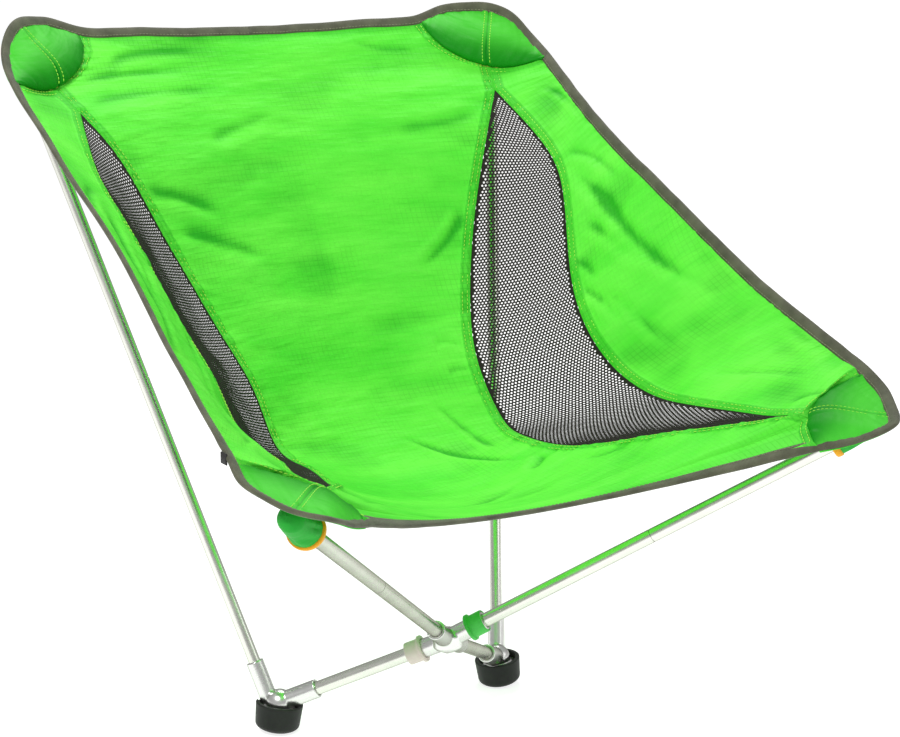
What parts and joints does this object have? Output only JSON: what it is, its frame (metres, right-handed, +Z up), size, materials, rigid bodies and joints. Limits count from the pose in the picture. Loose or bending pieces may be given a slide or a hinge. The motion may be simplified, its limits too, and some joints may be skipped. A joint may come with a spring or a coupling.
{
  "type": "ultralight backpacking chair",
  "caption": "Low two-footed sling chair: sewn green sling with mesh side panels on a shock-corded aluminium pole frame with a four-way hub.",
  "frame": {"origin": "on the ground under the middle of the chair's bounding box", "axes": "+Z up, +X to the sitter's left across the chair, the sitter faces -Y"},
  "size_m": [0.6066, 0.6583, 0.6312],
  "materials": {
    "ripstop_cloth": "ripstop nylon, bright green, slight sheen",
    "patch_cloth": "plain nylon, mid green",
    "mesh_cloth": "black open knitted mesh",
    "edge_tape": "grey-olive grosgrain binding tape",
    "rim_tape": "amber yellow bound rim",
    "tab_webbing": "black webbing",
    "pole_aluminium": "polished tube",
    "cast_aluminium": "polished casting",
    "boot_rubber": "soft matte moulded rubber",
    "tip_plastic": "moulded end plug",
    "shock_cord": "braided elastic cord"
  },
  "bodies": {
    "hub": {"hub_body": "cast_aluminium", "collar_leg_left": "cast_aluminium", "collar_front_right": "cast_aluminium"},
    "sling": {"corner_patch_front_left": "patch_cloth", "corner_patch_front_right": "patch_cloth", "corner_patch_rear_left": "patch_cloth", "corner_patch_rear_right": "patch_cloth", "edge_tab": "tab_webbing", "edge_tape_front": "edge_tape", "edge_tape_left": "edge_tape", "edge_tape_right": "edge_tape", "edge_tape_top": "edge_tape", "mesh_panel_left": "mesh_cloth", "mesh_panel_right": "mesh_cloth", "pocket_rim_front_left": "rim_tape", "pocket_rim_front_right": "rim_tape", "pocket_rim_rear_left": "rim_tape", "pocket_rim_rear_right": "rim_tape", "pole_pocket_front_left": "patch_cloth", "pole_pocket_front_right": "patch_cloth", "pole_pocket_rear_left": "patch_cloth", "pole_pocket_rear_right": "patch_cloth", "sling_centre_panel": "ripstop_cloth", "wing_panel_left": "ripstop_cloth", "wing_panel_right": "ripstop_cloth"},
    "leg_left": {"leg_pole_left": "pole_aluminium", "shock_cord_leg_left": "shock_cord", "foot_joint_left": "cast_aluminium", "foot_boot_left": "boot_rubber"},
    "back_lower_left": {"back_pole_lower_left": "pole_aluminium", "back_ferrule_left": "pole_aluminium"},
    "back_upper_left": {"back_pole_upper_left": "pole_aluminium", "back_tip_left": "tip_plastic", "shock_cord_back_left": "shock_cord"},
    "front_lower_left": {"front_pole_lower_left": "pole_aluminium", "front_ferrule_left": "pole_aluminium"},
    "front_upper_left": {"front_pole_upper_left": "pole_aluminium", "front_tip_left": "tip_plastic", "shock_cord_front_left": "shock_cord"},
    "leg_right": {"leg_pole_right": "pole_aluminium", "shock_cord_leg_right": "shock_cord", "foot_joint_right": "cast_aluminium", "foot_boot_right": "boot_rubber"},
    "back_lower_right": {"back_pole_lower_right": "pole_aluminium", "back_ferrule_right": "pole_aluminium"},
    "back_upper_right": {"back_pole_upper_right": "pole_aluminium", "back_tip_right": "tip_plastic", "shock_cord_back_right": "shock_cord"},
    "front_lower_right": {"front_pole_lower_right": "pole_aluminium", "front_ferrule_right": "pole_aluminium"},
    "front_upper_right": {"front_pole_upper_right": "pole_aluminium", "front_tip_right": "tip_plastic", "shock_cord_front_right": "shock_cord"}
  },
  "joints": [
    {"name": "sling_lift", "type": "slide", "parent": "hub", "child": "sling", "axis": [0, 0, 1], "range_m": [0, 0.35], "deforming": ["pocket_rim_front_left", "pocket_rim_front_right", "pocket_rim_rear_left", "pocket_rim_rear_right", "pole_pocket_front_left", "pole_pocket_front_right", "pole_pocket_rear_left", "pole_pocket_rear_right"]},
    {"name": "leg_pull_left", "type": "slide", "parent": "hub", "child": "leg_left", "axis": [-0.684, 0.6015, -0.4128], "range_m": [0, 0.035]},
    {"name": "back_pull_left", "type": "slide", "parent": "leg_left", "child": "back_lower_left", "axis": [-0.2111, 0.3619, 0.908], "range_m": [0, 0.035]},
    {"name": "back_part_left", "type": "slide", "parent": "back_lower_left", "child": "back_upper_left", "axis": [-0.2111, 0.3619, 0.908], "range_m": [0, 0.035]},
    {"name": "front_pull_left", "type": "slide", "parent": "hub", "child": "front_lower_left", "axis": [-0.6489, -0.5672, 0.5071], "range_m": [0, 0.035]},
    {"name": "front_part_left", "type": "slide", "parent": "front_lower_left", "child": "front_upper_left", "axis": [-0.6489, -0.5672, 0.5071], "range_m": [0, 0.035]},
    {"name": "leg_pull_right", "type": "slide", "parent": "hub", "child": "leg_right", "axis": [0.684, 0.6015, -0.4128], "range_m": [0, 0.035]},
    {"name": "back_pull_right", "type": "slide", "parent": "leg_right", "child": "back_lower_right", "axis": [0.2111, 0.3619, 0.908], "range_m": [0, 0.035]},
    {"name": "back_part_right", "type": "slide", "parent": "back_lower_right", "child": "back_upper_right", "axis": [0.2111, 0.3619, 0.908], "range_m": [0, 0.035]},
    {"name": "front_pull_right", "type": "slide", "parent": "hub", "child": "front_lower_right", "axis": [0.6489, -0.5672, 0.5071], "range_m": [0, 0.035]},
    {"name": "front_part_right", "type": "slide", "parent": "front_lower_right", "child": "front_upper_right", "axis": [0.6489, -0.5672, 0.5071], "range_m": [0, 0.035]}
  ],
  "couplings": [
    {"joint": "leg_pull_left", "follows": "sling_lift", "ratio": 0.1},
    {"joint": "back_pull_left", "follows": "sling_lift", "ratio": 0.1},
    {"joint": "back_part_left", "follows": "sling_lift", "ratio": 0.1},
    {"joint": "front_pull_left", "follows": "sling_lift", "ratio": 0.1},
    {"joint": "front_part_left", "follows": "sling_lift", "ratio": 0.1},
    {"joint": "leg_pull_right", "follows": "sling_lift", "ratio": 0.1},
    {"joint": "back_pull_right", "follows": "sling_lift", "ratio": 0.1},
    {"joint": "back_part_right", "follows": "sling_lift", "ratio": 0.1},
    {"joint": "front_pull_right", "follows": "sling_lift", "ratio": 0.1},
    {"joint": "front_part_right", "follows": "sling_lift", "ratio": 0.1}
  ]
}
